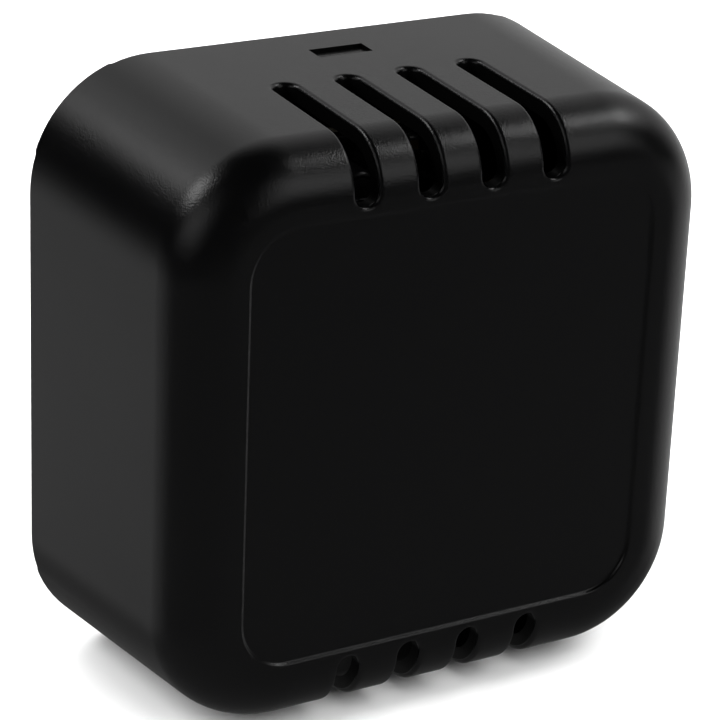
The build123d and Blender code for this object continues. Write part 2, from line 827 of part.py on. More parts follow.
def electrolytic(centre, leads, radius, height):
    """An aluminium can crimped over its seal, scored on top, with two leads through the board."""
    groove_height = board_front + capacitor_groove_height
    with BuildPart() as can:
        with BuildSketch(on_board()):
            with Locations(centre):
                Circle(radius)
        extrude(amount=height)
        fillet(can.faces().filter_by(Axis.Y).edges(), capacitor_top_radius)
        with BuildSketch(Plane.XY.offset(centre[1])):
            with Locations((centre[0] + radius, -groove_height)):
                Circle(capacitor_groove_radius)
        revolve(axis=Axis((centre[0], 0, centre[1]), (0, 1, 0)), mode=Mode.SUBTRACT)
        with BuildSketch(on_board(height)):
            with Locations(centre):
                Rectangle(radius, capacitor_vent_width)
                Rectangle(capacitor_vent_width, radius)
        extrude(amount=-capacitor_vent_depth, mode=Mode.SUBTRACT)
        with BuildSketch(on_board()):
            with Locations(*leads):
                Circle(lead_radius)
        extrude(amount=-lead_length)
    return can.part


input_capacitor = electrolytic(
    input_capacitor_at, input_capacitor_leads, input_capacitor_radius, input_capacitor_height
)
save(input_capacitor, "input_capacitor")
output_capacitor = electrolytic(
    output_capacitor_at, output_capacitor_leads, output_capacitor_radius, output_capacitor_height
)
save(output_capacitor, "output_capacitor")

rectifier = block(rectifier_at, rectifier_width, rectifier_length, rectifier_height, solder_gap, 0.3)
save(rectifier, "bridge_rectifier")
rectifier_lead_parts = gull_leads(
    rectifier_at, left_and_right, rectifier_width / 2, 2, 2.54, 0.6, rectifier_height / 2, 0.7, 0.2
)
save(rectifier_lead_parts, "rectifier_leads")


def leaded_disc(centre, leads, thickness):
    """A dipped disc that stands on edge on two leads."""
    with BuildPart() as disc:
        with BuildSketch(Plane.YZ.offset(centre[0] - thickness / 2)):
            with Locations((-(board_front + disc_standoff + disc_radius), centre[1])):
                Circle(disc_radius)
        extrude(amount=thickness)
        fillet(disc.edges(), disc_edge_radius)
        with BuildSketch(on_board(-lead_length)):
            with Locations(*leads):
                Circle(lead_radius)
        extrude(amount=lead_length + disc_standoff + disc_radius)
    return disc.part


save(leaded_disc(varistor_at, varistor_leads, varistor_thickness), "surge_varistor")
save(leaded_disc(fuse_at, fuse_leads, fuse_thickness), "resettable_fuse")


# ---------------------------------------------------------------- status light and header
with BuildPart() as led:
    with BuildSketch(on_board()):
        with Locations(led_at):
            Circle(led_rim_radius)
    extrude(amount=led_rim_height)
    with BuildSketch(on_board(led_rim_height)):
        with Locations(led_at):
            Circle(led_radius)
    extrude(amount=led_height - led_rim_height)
    fillet(led.faces().sort_by(Axis.Y)[0].edges(), led_radius * 0.95)
    with BuildSketch(on_board()):
        with Locations(*led_leads):
            Rectangle(0.5, 0.5)
    extrude(amount=-lead_length)
save(led.part, "status_light")

with BuildPart() as header_block:
    with BuildSketch(on_board()):
        with Locations(header_at):
            Rectangle(header_block_width, header_count * header_pitch)
        with Locations(*header_pins_at):
            Rectangle(header_pin + 2 * header_pin_fit, header_pin + 2 * header_pin_fit, mode=Mode.SUBTRACT)
    extrude(amount=header_block_height)
save(header_block.part, "service_header")
service_pins = square_pins(header_pins_at, -lead_length, header_pin_height)
save(service_pins, "service_pins")


# ---------------------------------------------------------------- chip resistors and capacitors
def chips(places, height, upright):
    """Small blocks soldered on the board, all turned one way."""
    turned = (chip_width, chip_length) if upright else (chip_length, chip_width)
    with BuildPart() as group:
        with BuildSketch(on_board()):
            with Locations(*places):
                Rectangle(*turned)
        extrude(amount=height)
    return group.part


save(chips(resistors_at, resistor_height, False), "chip_resistors")
save(chips(capacitors_at, capacitor_chip_height, True), "chip_capacitors")
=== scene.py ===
"""Looks of a vented indoor climate sensor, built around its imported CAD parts.

Metres. X runs across the housing, Z is up, the front faces -Y and the wall is at y = 0.
"""
from math import atan, cos, pi, radians, sin, tan

import bmesh
import bpy
from mathutils import Matrix, Vector


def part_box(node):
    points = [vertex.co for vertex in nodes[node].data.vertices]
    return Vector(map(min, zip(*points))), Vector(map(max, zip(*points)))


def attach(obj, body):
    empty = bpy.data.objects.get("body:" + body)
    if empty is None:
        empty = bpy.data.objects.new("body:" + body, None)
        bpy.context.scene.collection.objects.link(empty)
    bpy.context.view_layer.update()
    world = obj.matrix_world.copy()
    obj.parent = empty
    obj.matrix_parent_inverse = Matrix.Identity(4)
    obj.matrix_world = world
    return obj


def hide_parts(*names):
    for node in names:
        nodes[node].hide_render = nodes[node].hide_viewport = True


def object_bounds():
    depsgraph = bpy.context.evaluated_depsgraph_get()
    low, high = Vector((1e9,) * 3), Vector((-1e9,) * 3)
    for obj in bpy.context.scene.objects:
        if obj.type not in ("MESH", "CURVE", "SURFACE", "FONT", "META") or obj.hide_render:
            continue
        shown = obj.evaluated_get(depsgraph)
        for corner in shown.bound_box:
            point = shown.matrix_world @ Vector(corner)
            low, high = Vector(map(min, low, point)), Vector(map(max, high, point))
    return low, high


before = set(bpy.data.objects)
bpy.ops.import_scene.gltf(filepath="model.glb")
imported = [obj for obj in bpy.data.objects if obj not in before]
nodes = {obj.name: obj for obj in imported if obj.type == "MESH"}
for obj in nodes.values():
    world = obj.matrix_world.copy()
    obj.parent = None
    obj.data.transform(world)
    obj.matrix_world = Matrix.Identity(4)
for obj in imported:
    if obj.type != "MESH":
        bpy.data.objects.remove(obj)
cad_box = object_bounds()


# ---------------------------------------------------------------- camera
# A long lens a little above the housing and to its left, so the front, the top and the left
# side all show. The small roll tips the housing by two degrees in the frame.
def place_camera(azimuth, elevation, roll, distance, target, aside, up_shift, lens):
    """Look at a target from a direction, rolled about the line of sight."""
    away = Vector(
        (sin(azimuth) * cos(elevation), -cos(azimuth) * cos(elevation), sin(elevation))
    )
    level = Vector((cos(azimuth), sin(azimuth), 0))
    upright = away.cross(level)
    right = level * cos(roll) + upright * sin(roll)
    up = upright * cos(roll) - level * sin(roll)
    aim = target + level * aside + upright * up_shift
    data = bpy.data.cameras.new("view")
    data.lens = lens
    data.sensor_width = 36
    camera = bpy.data.objects.new("view", data)
    turn = Matrix((right, up, away)).transposed()
    camera.matrix_world = Matrix.Translation(aim + away * distance) @ turn.to_4x4()
    bpy.context.scene.collection.objects.link(camera)
    bpy.context.scene.camera = camera


place_camera(
    azimuth=radians(-31.08),
    elevation=radians(22.17),
    roll=radians(2.32),
    distance=0.34433,
    target=Vector((0, -0.018, 0)),
    aside=-0.002116,
    up_shift=0.001168,
    lens=148.17,
)


# ---------------------------------------------------------------- studio
# A plain pale floor in a dim room. Two soft boxes stand high on either side of the view and a
# pale backdrop is behind the housing. Four broad lamps whiten the floor without lighting it.
def make_floor(size, drop):
    """A pale matt floor just under the housing's lowest edge."""
    bm = bmesh.new()
    bmesh.ops.create_grid(bm, x_segments=1, y_segments=1, size=size / 2)
    bmesh.ops.translate(bm, verts=bm.verts, vec=(0, 0, cad_box[0].z - drop))
    mesh = bpy.data.meshes.new("floor")
    bm.to_mesh(mesh)
    bm.free()
    material = bpy.data.materials.new("pale_floor")
    material.use_nodes = True
    shader = material.node_tree.nodes["Principled BSDF"]
    shader.inputs["Base Color"].default_value = (0.86, 0.86, 0.86, 1)
    shader.inputs["Roughness"].default_value = 0.9
    mesh.materials.append(material)
    floor = bpy.data.objects.new("floor", mesh)
    bpy.context.scene.collection.objects.link(floor)
    floor.visible_glossy = False
    return floor


def join(tree, operation, *values):
    """A Math node fed with sockets or plain numbers; returns its output."""
    node = tree.nodes.new("ShaderNodeMath")
    node.operation = operation
    for socket, value in zip(node.inputs, values):
        if isinstance(value, (int, float)):
            socket.default_value = value
        else:
            tree.links.new(value, socket)
    return node.outputs[0]


def make_room(gloom, patches):
    """World light: a dim room with soft-edged bright patches.

    Each patch is a strength, the compass bearing and height of its middle, its half width and
    half height, and how soft its edge is, with the angles in degrees. Bearing 0 is +Y.
    """
    world = bpy.data.worlds.new("studio")
    world.use_nodes = True
    tree = world.node_tree
    background = tree.nodes["Background"]
    background.inputs["Color"].default_value = (1, 1, 1, 1)
    coordinates = tree.nodes.new("ShaderNodeTexCoord")
    split = tree.nodes.new("ShaderNodeSeparateXYZ")
    tree.links.new(coordinates.outputs["Generated"], split.inputs[0])
    bearing = join(tree, "ARCTAN2", split.outputs["X"], split.outputs["Y"])
    height = join(tree, "ARCSINE", split.outputs["Z"])
    total = gloom
    for strength, middle, half_size, softness in patches:
        across = join(tree, "SUBTRACT", bearing, radians(middle[0]))
        across = join(tree, "DIVIDE", across, radians(half_size[0]))
        above = join(tree, "SUBTRACT", height, radians(middle[1]))
        above = join(tree, "DIVIDE", above, radians(half_size[1]))
        across = join(tree, "POWER", join(tree, "ABSOLUTE", across), 4.0)
        above = join(tree, "POWER", join(tree, "ABSOLUTE", above), 4.0)
        reach = join(tree, "POWER", join(tree, "ADD", across, above), 0.25)
        edge = tree.nodes.new("ShaderNodeMapRange")
        edge.interpolation_type = "SMOOTHSTEP"
        edge.inputs["From Min"].default_value = 1 - softness
        edge.inputs["From Max"].default_value = 1 + softness
        edge.inputs["To Min"].default_value = 1
        edge.inputs["To Max"].default_value = 0
        tree.links.new(reach, edge.inputs["Value"])
        total = join(tree, "MULTIPLY_ADD", edge.outputs["Result"], strength, total)
    tree.links.new(total, background.inputs["Strength"])
    bpy.context.scene.world = world


def floor_light(name, floor, place, side, watts):
    """A broad square lamp, aimed at the middle of the floor, that lights nothing else."""
    data = bpy.data.lights.new(name, "AREA")
    data.shape = "SQUARE"
    data.size = side
    data.energy = watts
    light = bpy.data.objects.new(name, data)
    light.location = place
    light.rotation_euler = (-place).to_track_quat("-Z", "Y").to_euler()
    light.visible_glossy = False
    bpy.context.scene.collection.objects.link(light)
    lit = bpy.data.collections.new(name + "_lights_only")
    lit.objects.link(floor)
    light.light_linking.receiver_collection = lit


floor = make_floor(size=6, drop=0.0001)
make_room(
    0.015,
    [
        (4.2, (-56, 45), (15, 9), 0.3),
        (1.9, (-38, 37), (9, 8), 0.5),
        (0.6, (-20, 38), (16, 14), 0.5),
        (4.6, (108, 46), (12, 7), 0.35),
        (0.55, (99, 40), (22, 13), 0.5),
        (0.46, (44, 24), (48, 34), 0.35),
        (0.60, (-103, 29), (20, 15), 0.6),
        (0.85, (149, 26), (15, 17), 0.5),
        (0.50, (80, -17), (42, 12), 0.5),
        (0.27, (-46, -19), (28, 11), 0.5),
        (0.085, (0, -58), (400, 42), 0.3),
    ],
)
for bearing in (0, 90, 180, 270):
    lamp_place = Matrix.Rotation(radians(bearing), 3, "Z") @ Vector((1.4, 0, 1.3))
    floor_light(f"floor_lamp_{bearing}", floor, lamp_place, side=1.3, watts=34)
bpy.context.scene.view_settings.view_transform = "Standard"


# ---------------------------------------------------------------- front cover
# One black ABS moulding with a fine spark-eroded grain: a drafted box with a soft front edge,
# vent slots that wrap over the top and bottom edges and a shallow square recess for a label.
# It snaps over the base and is 2 mm thick throughout. Its inner skin, slot walls, window walls and
# ribs get a darker, less glossy copy of the same plastic as painted shade.
def spark_grain():
    """Shader group: the pebbled surface that a spark-eroded mould leaves, in Object coordinates."""
    group = bpy.data.node_groups.new("spark_grain", "ShaderNodeTree")
    face = group.interface
    face.new_socket("Grains per Metre", in_out="INPUT", socket_type="NodeSocketFloat")
    face.new_socket("Roughness", in_out="INPUT", socket_type="NodeSocketFloat")
    face.new_socket("Height", in_out="OUTPUT", socket_type="NodeSocketFloat")
    face.new_socket("Roughness", in_out="OUTPUT", socket_type="NodeSocketFloat")
    new, link = group.nodes.new, group.links.new
    given, result = new("NodeGroupInput"), new("NodeGroupOutput")
    place = new("ShaderNodeTexCoord")
    pits = new("ShaderNodeTexNoise")
    pits.inputs["Detail"].default_value = 2
    pits.inputs["Roughness"].default_value = 0.6
    steep = new("ShaderNodeMapRange")
    steep.inputs["From Min"].default_value = 0.32
    steep.inputs["From Max"].default_value = 0.68
    patches = new("ShaderNodeTexNoise")
    patches.inputs["Scale"].default_value = 90
    patches.inputs["Detail"].default_value = 3
    swing = new("ShaderNodeMapRange")
    swing.inputs["To Min"].default_value = -0.035
    swing.inputs["To Max"].default_value = 0.035
    total = new("ShaderNodeMath")
    link(place.outputs["Object"], pits.inputs["Vector"])
    link(place.outputs["Object"], patches.inputs["Vector"])
    link(given.outputs["Grains per Metre"], pits.inputs["Scale"])
    link(pits.outputs["Fac"], steep.inputs["Value"])
    link(steep.outputs["Result"], result.inputs["Height"])
    link(patches.outputs["Fac"], swing.inputs["Value"])
    link(swing.outputs["Result"], total.inputs[0])
    link(given.outputs["Roughness"], total.inputs[1])
    link(total.outputs["Value"], result.inputs["Roughness"])
    return group


grain_group = spark_grain()


def moulded_plastic(name, colour, roughness, grains=5000, depth=0.000013, specular=0.5):
    """Injection-moulded plastic with a spark-eroded grain of a given size and depth."""
    material = bpy.data.materials.new(name)
    material.use_nodes = True
    tree = material.node_tree
    shader = tree.nodes["Principled BSDF"]
    shader.inputs["Base Color"].default_value = (*colour, 1)
    shader.inputs["Specular IOR Level"].default_value = specular
    grain = tree.nodes.new("ShaderNodeGroup")
    grain.node_tree = grain_group
    grain.inputs["Grains per Metre"].default_value = grains
    grain.inputs["Roughness"].default_value = roughness
    bump = tree.nodes.new("ShaderNodeBump")
    bump.inputs["Distance"].default_value = depth
    tree.links.new(grain.outputs["Height"], bump.inputs["Height"])
    tree.links.new(grain.outputs["Roughness"], shader.inputs["Roughness"])
    tree.links.new(bump.outputs["Normal"], shader.inputs["Normal"])
    return material


MM = 0.001
COVER_REAR = 72 * MM
COVER_DEPTH = -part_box("front_cover")[0].y
COVER_TAPER = 0.943
COVER_CORNER = 14.8 * MM
COVER_EDGE = 6.5 * MM
COVER_WALL = 2 * MM
RECESS_SIZE = 52 * MM
RECESS_DEPTH = 0.4 * MM
RECESS_SLOPE = 0.16 * MM
RECESS_ROUNDING = 0.18 * MM
RIM_ROUNDING = 0.4 * MM
SLOT_COUNT = 4
SLOT_WIDTH = 2.9 * MM
SLOT_PITCH = 8 * MM
SLOT_REAR = 14.3 * MM
SLOT_TIP = 27 * MM
SLOT_LIP = 0.55 * MM
WINDOW = (7.0 * MM, 2.65 * MM)
WINDOW_DEPTH = 6.825 * MM
RIB_INNER = 32 * MM
RIB_REACH = 2.4 * MM
RIB_WIDTH = 1.5 * MM
RIB_LENGTH = 17.6 * MM
RIB_MIDDLE = -11.2 * MM
RIB_HEIGHT = 14 * MM
WELD = 0.002 * MM
ALMOST_ALL = 0.9995  # a round end a hair under half its width keeps its two corners apart


def bevel(bm, edges, offset, segments):
    """Round edges with circular arcs, and return the new faces."""
    rounded = bmesh.ops.bevel(
        bm,
        geom=edges,
        offset=offset,
        offset_type="OFFSET",
        segments=segments,
        profile=0.5,
        affect="EDGES",
        clamp_overlap=False,
        material=-1,
    )
    return rounded["faces"]


def runs_along(edge, axis):
    """Whether an edge is parallel to an axis, 0 to 2."""
    direction = (edge.verts[1].co - edge.verts[0].co).normalized()
    return abs(direction[axis]) > 0.999


def cover_skin():
    """The cover's outer skin, open at the rear."""
    bm = bmesh.new()
    bmesh.ops.create_cube(bm, size=1)
    bmesh.ops.scale(bm, verts=bm.verts, vec=(COVER_REAR, COVER_DEPTH, COVER_REAR))
    bmesh.ops.translate(bm, verts=bm.verts, vec=(0, -COVER_DEPTH / 2, 0))
    bevel(bm, [e for e in bm.edges if runs_along(e, 1)], COVER_CORNER, 20)
    front = [v for v in bm.verts if v.co.y < -COVER_DEPTH / 2]
    bmesh.ops.scale(bm, verts=front, vec=(COVER_TAPER, 1, COVER_TAPER))
    rear = max(bm.faces, key=lambda f: f.calc_center_median().y)
    bmesh.ops.delete(bm, geom=[rear], context="FACES_ONLY")
    face = min(bm.faces, key=lambda f: f.calc_center_median().y)
    draft = atan(COVER_REAR * (1 - COVER_TAPER) / 2 / COVER_DEPTH)
    bevel(bm, list(face.edges), COVER_EDGE / tan(pi / 4 + draft / 2), 16)
    return bm


def sink_recess(shell):
    """Sinks the square label recess into the shell's flat front, with softened edges."""
    bm = bmesh.new()
    bm.from_mesh(shell.data)
    face = min(bm.faces, key=lambda f: f.calc_center_median().y)
    flat = max(v.co.x for v in face.verts) - RECESS_SIZE / 2
    bmesh.ops.inset_region(bm, faces=[face], thickness=flat, use_even_offset=True)
    brink = list(face.edges)
    bmesh.ops.inset_region(bm, faces=[face], thickness=RECESS_SLOPE, depth=-RECESS_DEPTH)
    bevel(bm, brink + list(face.edges), RECESS_ROUNDING, 3)
    bm.to_mesh(shell.data)
    bm.free()


def add_stop_ribs(bm):
    """Adds the four ribs inside the side walls that stop the cover on the base plate."""
    for side in (-1, 1):
        for z in (-RIB_HEIGHT, RIB_HEIGHT):
            rib = bmesh.ops.create_cube(bm, size=1)["verts"]
            bmesh.ops.scale(bm, verts=rib, vec=(RIB_REACH, RIB_LENGTH, RIB_WIDTH))
            front = [v for v in rib if v.co.y < 0]
            middle = side * (RIB_INNER + RIB_REACH / 2)
            bmesh.ops.translate(bm, verts=rib, vec=(middle, RIB_MIDDLE, z))
            bmesh.ops.translate(bm, verts=front, vec=(-side * RIB_REACH / 4, 0, 0))
            # The ribs take the darker copy of the cover plastic, as painted shade.
            for face in {f for v in rib for f in v.link_faces}:
                face.material_index = 1


def slot_cutter(bm, x, side):
    """Adds the solid that one vent slot removes: an angle of bar with a round end on each leg."""
    reach = COVER_WALL + 1.5 * MM
    beyond = 3 * MM
    top = COVER_REAR / 2 + beyond
    roof = COVER_REAR / 2 * COVER_TAPER - reach
    nose = -COVER_DEPTH - beyond
    inner = -COVER_DEPTH + reach
    outline = [
        (-SLOT_REAR, roof),
        (-SLOT_REAR, top),
        (nose, top),
        (nose, SLOT_TIP),
        (inner, SLOT_TIP),
        (inner, roof),
    ]
    corners = [bm.verts.new((x - SLOT_WIDTH / 2, y, side * z)) for y, z in outline]
    face = bm.faces.new(corners)
    grown = bmesh.ops.extrude_face_region(bm, geom=[face])["geom"]
    moved = [g for g in grown if isinstance(g, bmesh.types.BMVert)]
    bmesh.ops.translate(bm, verts=moved, vec=(SLOT_WIDTH, 0, 0))
    mine = set(corners + moved)
    ends = [
        e
        for e in bm.edges
        if e.verts[0] in mine
        and (
            (runs_along(e, 2) and abs(e.verts[0].co.y + SLOT_REAR) < 1e-6)
            or (runs_along(e, 1) and abs(abs(e.verts[0].co.z) - SLOT_TIP) < 1e-6)
        )
    ]
    bevel(bm, ends, SLOT_WIDTH / 2 * ALMOST_ALL, 10)


def cover_cutters():
    """All the vent slots and the two latch windows as one mesh of separate solids."""
    bm = bmesh.new()
    for side in (-1, 1):
        for i in range(SLOT_COUNT):
            slot_cutter(bm, (i - (SLOT_COUNT - 1) / 2) * SLOT_PITCH, side)
    window = bmesh.ops.create_cube(bm, size=1)["verts"]
    bmesh.ops.scale(bm, verts=window, vec=(WINDOW[0], WINDOW[1], 2 * COVER_REAR))
    bmesh.ops.translate(bm, verts=window, vec=(0, -WINDOW_DEPTH, 0))
    bmesh.ops.recalc_face_normals(bm, faces=bm.faces)
    # The slot and window walls take the darker copy of the cover plastic, as painted shade.
    for face in bm.faces:
        face.material_index = 1
    return bm


def to_object(bm, name, *materials):
    """Write a bmesh to a new object at the origin."""
    mesh = bpy.data.meshes.new(name)
    bm.to_mesh(mesh)
    bm.free()
    for material in materials:
        mesh.materials.append(material)
    piece = bpy.data.objects.new(name, mesh)
    bpy.context.scene.collection.objects.link(piece)
    return piece


def apply_modifiers(piece):
    """Replace an object's mesh with what its modifiers make of it."""
    evaluated = piece.evaluated_get(bpy.context.evaluated_depsgraph_get())
    mesh = bpy.data.meshes.new_from_object(evaluated)
    piece.modifiers.clear()
    piece.data = mesh


def skin_limit(y):
    """Half-way between the outer and inner skins, as a distance from the cover's axis."""
    share = -y / COVER_DEPTH
    return COVER_REAR / 2 * (1 - (1 - COVER_TAPER) * share) - COVER_WALL / 2


def on_outer_skin(vert):
    """Whether a vertex of the finished shell is on its outside."""
    co = vert.co
    if co.y < -COVER_DEPTH + COVER_WALL / 2:
        return True
    return max(abs(co.x), abs(co.z)) > skin_limit(co.y) or (
        co.y < -COVER_DEPTH + COVER_EDGE and outside_edge_arc(co)
    )


def outside_edge_arc(co):
    """Whether a point near the front edge is beyond the middle of the wall's bend."""
    centre_y = -COVER_DEPTH + COVER_EDGE
    centre = skin_limit(centre_y) + COVER_WALL / 2 - COVER_EDGE
    span = Vector((co.y - centre_y, max(abs(co.x), abs(co.z)) - centre)).length
    return span > COVER_EDGE - COVER_WALL / 2


def set_smooth(mesh, angle):
    """Smooth shading, with edges sharper than an angle left crisp."""
    mesh.shade_smooth()
    mesh.set_sharp_from_angle(angle=angle)


def make_cover():
    """The whole cover as one closed shell that stands for its CAD node."""
    outside = moulded_plastic("cover_plastic", (0.002, 0.002, 0.0022), 0.19)
    # The inner skin, the slot and window walls and the stop ribs get a darker, less glossy copy of
    # the cover plastic: painted shade.
    inside = moulded_plastic("cover_inside_painted_shade", (0.001, 0.001, 0.001), 0.5, specular=0.2)
    cover = to_object(cover_skin(), "front_cover_shell", outside, inside)
    wall = cover.modifiers.new("wall", "SOLIDIFY")
    wall.thickness = COVER_WALL
    wall.offset = -1
    wall.use_even_offset = True
    wall.material_offset = 1
    apply_modifiers(cover)
    sink_recess(cover)
    cutters = to_object(cover_cutters(), "cover_cutters", outside, inside)
    cut = cover.modifiers.new("slots", "BOOLEAN")
    cut.object = cutters
    cut.operation = "DIFFERENCE"
    cut.solver = "EXACT"
    apply_modifiers(cover)
    bpy.data.objects.remove(cutters)
    bm = bmesh.new()
    bm.from_mesh(cover.data)
    bmesh.ops.remove_doubles(bm, verts=bm.verts, dist=WELD)
    lips = [
        e
        for e in bm.edges
        if len(e.link_faces) == 2
        and e.link_faces[0].material_index != e.link_faces[1].material_index
        and all(on_outer_skin(v) for v in e.verts)
        and e.verts[0].co.y < -SLOT_REAR + 0.1 * MM
    ]
    for face in bevel(bm, lips, SLOT_LIP, 5):
        face.material_index = 0
    rim = [
        e
        for e in bm.edges
        if all(v.co.y > -0.000001 and on_outer_skin(v) for v in e.verts) and len(e.link_faces) == 2
    ]
    bevel(bm, rim, RIM_ROUNDING, 3)
    for vert in bm.verts:
        vert.co.y = min(vert.co.y, 0)
    add_stop_ribs(bm)
    bm.to_mesh(cover.data)
    bm.free()
    set_smooth(cover.data, radians(38))
    weigh = cover.modifiers.new("flat_faces", "WEIGHTED_NORMAL")
    weigh.keep_sharp = True
    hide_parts("front_cover")
    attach(cover, "cover")


make_cover()


# ---------------------------------------------------------------- rear base and latches
# Smooth black ABS: a flat plate that screws to the wall, and two spring latches whose hooks
# catch in the cover's windows. Moulded in one colour with the cover but with a polished finish.
def finish(material, *names):
    """Give CAD parts a material."""
    for name in names:
        mesh = nodes[name].data
        mesh.materials.clear()
        mesh.materials.append(material)


def soften(angle, *names):
    """Shade the curved parts of CAD meshes smooth; their vertices stay where they are."""
    for name in names:
        set_smooth(nodes[name].data, radians(angle))


base_plastic = moulded_plastic("base_plastic", (0.003, 0.003, 0.0032), 0.22, 1800, 0.000006)
finish(base_plastic, "rear_base", "top_latch", "bottom_latch")


# ---------------------------------------------------------------- circuit boards
# Glass-fibre laminate under a black solder mask. Copper tracks show faintly through the mask,
# which is glossier than the pale woven edges left by the router.
def solder_mask():
    """Black mask on both faces with tracks under it, and bare laminate on the cut edges."""
    material = bpy.data.materials.new("board_laminate")
    material.use_nodes = True
    tree = material.node_tree
    new, link = tree.nodes.new, tree.links.new
    shader = tree.nodes["Principled BSDF"]
    place = new("ShaderNodeTexCoord")
    tracks = new("ShaderNodeTexVoronoi")
    tracks.distance = "CHEBYCHEV"
    tracks.feature = "F2"
    tracks.inputs["Scale"].default_value = 260
    tracks.inputs["Randomness"].default_value = 0.55
    lines = new("ShaderNodeValToRGB")
    lines.color_ramp.interpolation = "EASE"
    lines.color_ramp.elements[0].position = 0.56
    lines.color_ramp.elements[1].position = 0.60
    tint = new("ShaderNodeMix")
    tint.data_type = "RGBA"
    tint.inputs["A"].default_value = (0.004, 0.005, 0.006, 1)
    tint.inputs["B"].default_value = (0.014, 0.017, 0.018, 1)
    weave = new("ShaderNodeTexWave")
    weave.bands_direction = "Y"
    weave.inputs["Scale"].default_value = 900
    weave.inputs["Distortion"].default_value = 2
    laminate = new("ShaderNodeMix")
    laminate.data_type = "RGBA"
    laminate.inputs["A"].default_value = (0.16, 0.13, 0.06, 1)
    laminate.inputs["B"].default_value = (0.32, 0.28, 0.15, 1)
    facing = new("ShaderNodeNewGeometry")
    split = new("ShaderNodeSeparateXYZ")
    both = new("ShaderNodeMix")
    both.data_type = "RGBA"
    bump = new("ShaderNodeBump")
    bump.inputs["Distance"].default_value = 0.00003
    rough = new("ShaderNodeMapRange")
    rough.inputs["To Min"].default_value = 0.62
    rough.inputs["To Max"].default_value = 0.27
    link(place.outputs["Object"], tracks.inputs["Vector"])
    link(place.outputs["Object"], weave.inputs["Vector"])
    link(tracks.outputs["Distance"], lines.inputs["Fac"])
    link(lines.outputs["Color"], tint.inputs["Factor"])
    link(weave.outputs["Fac"], laminate.inputs["Factor"])
    link(facing.outputs["Normal"], split.inputs[0])
    masked = join(tree, "GREATER_THAN", join(tree, "ABSOLUTE", split.outputs["Y"]), 0.7)
    link(masked, both.inputs["Factor"])
    link(laminate.outputs["Result"], both.inputs["A"])
    link(tint.outputs["Result"], both.inputs["B"])
    link(lines.outputs["Color"], bump.inputs["Height"])
    link(masked, rough.inputs["Value"])
    link(both.outputs["Result"], shader.inputs["Base Color"])
    link(rough.outputs["Result"], shader.inputs["Roughness"])
    link(bump.outputs["Normal"], shader.inputs["Normal"])
    return material


finish(solder_mask(), "circuit_board", "sensor_board")


# ---------------------------------------------------------------- metal leads, pins and screws
# Tinned copper leads, gold-flashed header pins and bright zinc screws, each a little uneven
# from plating and handling.
def plating():
    """Shader group: the cloudy colour and roughness of a plated metal."""
    group = bpy.data.node_groups.new("plating", "ShaderNodeTree")
    face = group.interface
    face.new_socket("Colour", in_out="INPUT", socket_type="NodeSocketColor")
    face.new_socket("Tarnish", in_out="INPUT", socket_type="NodeSocketColor")
    face.new_socket("Roughness", in_out="INPUT", socket_type="NodeSocketFloat")
    face.new_socket("Colour", in_out="OUTPUT", socket_type="NodeSocketColor")
    face.new_socket("Roughness", in_out="OUTPUT", socket_type="NodeSocketFloat")
    new, link = group.nodes.new, group.links.new
    given, result = new("NodeGroupInput"), new("NodeGroupOutput")
    place = new("ShaderNodeTexCoord")
    cloud = new("ShaderNodeTexNoise")
    cloud.inputs["Scale"].default_value = 700
    cloud.inputs["Detail"].default_value = 4
    blend = new("ShaderNodeMix")
    blend.data_type = "RGBA"
    swing = new("ShaderNodeMath")
    swing.operation = "MULTIPLY_ADD"
    swing.inputs[1].default_value = 0.18
    link(place.outputs["Object"], cloud.inputs["Vector"])
    link(cloud.outputs["Fac"], blend.inputs["Factor"])
    link(given.outputs["Colour"], blend.inputs["A"])
    link(given.outputs["Tarnish"], blend.inputs["B"])
    link(blend.outputs["Result"], result.inputs["Colour"])
    link(cloud.outputs["Fac"], swing.inputs[0])
    link(given.outputs["Roughness"], swing.inputs[2])
    link(swing.outputs["Value"], result.inputs["Roughness"])
    return group


plating_group = plating()


def plated_metal(name, colour, tarnish, roughness):
    """A plated metal with cloudy tarnish."""
    material = bpy.data.materials.new(name)
    material.use_nodes = True
    tree = material.node_tree
    shader = tree.nodes["Principled BSDF"]
    shader.inputs["Metallic"].default_value = 1
    skin = tree.nodes.new("ShaderNodeGroup")
    skin.node_tree = plating_group
    skin.inputs["Colour"].default_value = (*colour, 1)
    skin.inputs["Tarnish"].default_value = (*tarnish, 1)
    skin.inputs["Roughness"].default_value = roughness
    tree.links.new(skin.outputs["Colour"], shader.inputs["Base Color"])
    tree.links.new(skin.outputs["Roughness"], shader.inputs["Roughness"])
    return material


tin = plated_metal("lead_metal", (0.78, 0.78, 0.77), (0.50, 0.50, 0.49), 0.22)
gold = plated_metal("pin_metal", (0.86, 0.62, 0.25), (0.62, 0.40, 0.14), 0.20)
zinc = plated_metal("screw_steel", (0.66, 0.67, 0.69), (0.45, 0.46, 0.50), 0.24)
spring = plated_metal("spring_metal", (0.70, 0.69, 0.66), (0.42, 0.41, 0.39), 0.28)
nickel = plated_metal("crystal_metal", (0.72, 0.71, 0.68), (0.55, 0.53, 0.50), 0.18)
lead_nodes = (
    "controller_leads",
    "dip_switch_leads",
    "setup_button_leads",
    "regulator_tab",
    "regulator_leads",
    "rectifier_leads",
)
finish(tin, *lead_nodes)
finish(gold, "sensor_pins", "service_pins")
finish(zinc, "board_screws")
finish(spring, "terminal_clamps")
finish(nickel, "crystal", "setup_button_case")
soften(40, "board_screws", "controller_leads", "dip_switch_leads", "terminal_clamps")


# ---------------------------------------------------------------- solder
# A tinned pad with a thin fillet of solder under each lead, and a small cone round each pin
# that passes through the board.
BOARD_FRONT = -10 * MM
SOLDER_RISE = 0.5 * MM
PAD_MARGIN = 0.16 * MM
PAD_RISE = 0.07 * MM
CONE_MARGIN = 0.55 * MM
CONE_TIP_MARGIN = 0.08 * MM


